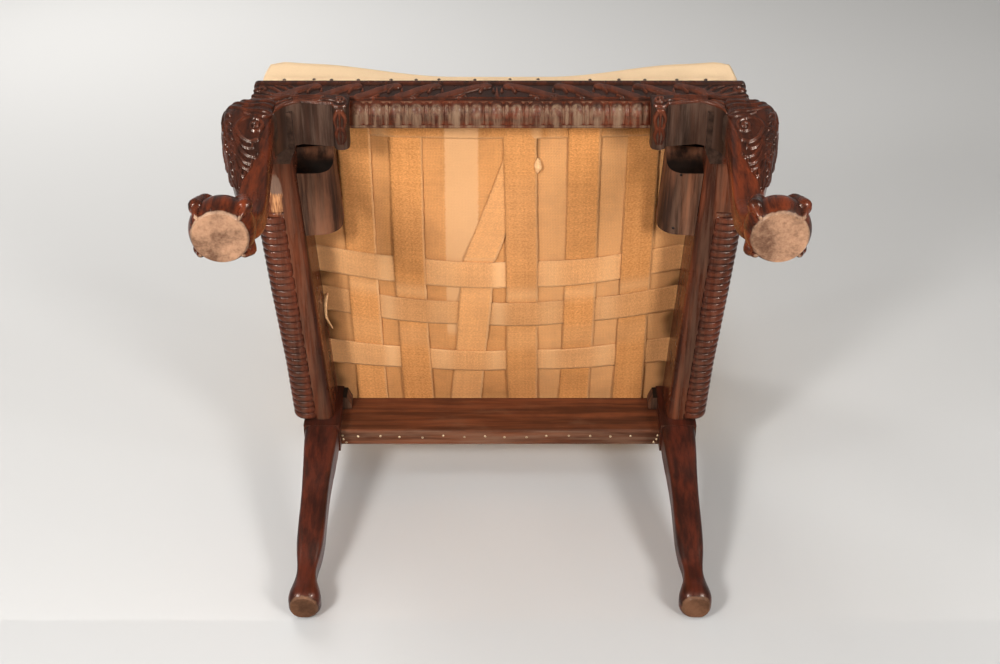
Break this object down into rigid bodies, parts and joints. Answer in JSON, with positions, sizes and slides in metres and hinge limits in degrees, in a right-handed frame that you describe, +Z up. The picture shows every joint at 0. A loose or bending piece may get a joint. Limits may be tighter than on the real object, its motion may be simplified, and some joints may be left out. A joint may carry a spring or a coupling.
{
  "type": "library armchair",
  "caption": "Open armchair with carved cabriole front legs, claw feet, gadrooned rails, woven webbing under a stuffed seat in muslin, and a raked padded back.",
  "frame": {"origin": "centre of the bounding box on the floor plane", "axes": "+Z up, the chair faces -Y, +X is the sitter's left and the right of the picture"},
  "size_m": [0.7, 0.6767, 0.9972],
  "materials": {
    "mahogany": "old polish, worn and dusty",
    "glue_block": "unpolished, stained",
    "muslin": "plain undyed cloth",
    "webbing": "twilled jute",
    "hessian": "coarse plain weave",
    "stuffing": "loose curled hair"
  },
  "bodies": {
    "root": {"front_rail": "mahogany", "rear_rail": "mahogany", "crest_rail": "mahogany", "back_lower_rail": "mahogany", "seat_cover": "muslin", "seat_stuffing": "stuffing", "seat_hessian": "hessian", "back_cover": "muslin", "outside_back_cover": "muslin", "back_stuffing": "stuffing", "back_hessian": "hessian", "back_webbing": "webbing", "right_side_rail": "mahogany", "left_side_rail": "mahogany", "right_front_leg": "mahogany", "left_front_leg": "mahogany", "right_knee_bracket": "mahogany", "left_knee_bracket": "mahogany", "right_front_corner_block": "glue_block", "left_front_corner_block": "glue_block", "right_rear_corner_block": "glue_block", "left_rear_corner_block": "glue_block", "right_arm": "mahogany", "left_arm": "mahogany", "right_arm_support": "mahogany", "left_arm_support": "mahogany", "right_rear_leg": "mahogany", "left_rear_leg": "mahogany", "right_arm_pad": "muslin", "left_arm_pad": "muslin", "woven_strap_1": "webbing", "woven_strap_2": "webbing", "woven_strap_3": "webbing", "woven_strap_4": "webbing", "woven_strap_5": "webbing", "woven_strap_6": "webbing", "cross_strap_1": "webbing", "cross_strap_2": "webbing", "cross_strap_3": "webbing", "cross_strap_4": "webbing"}
  },
  "joints": []
}
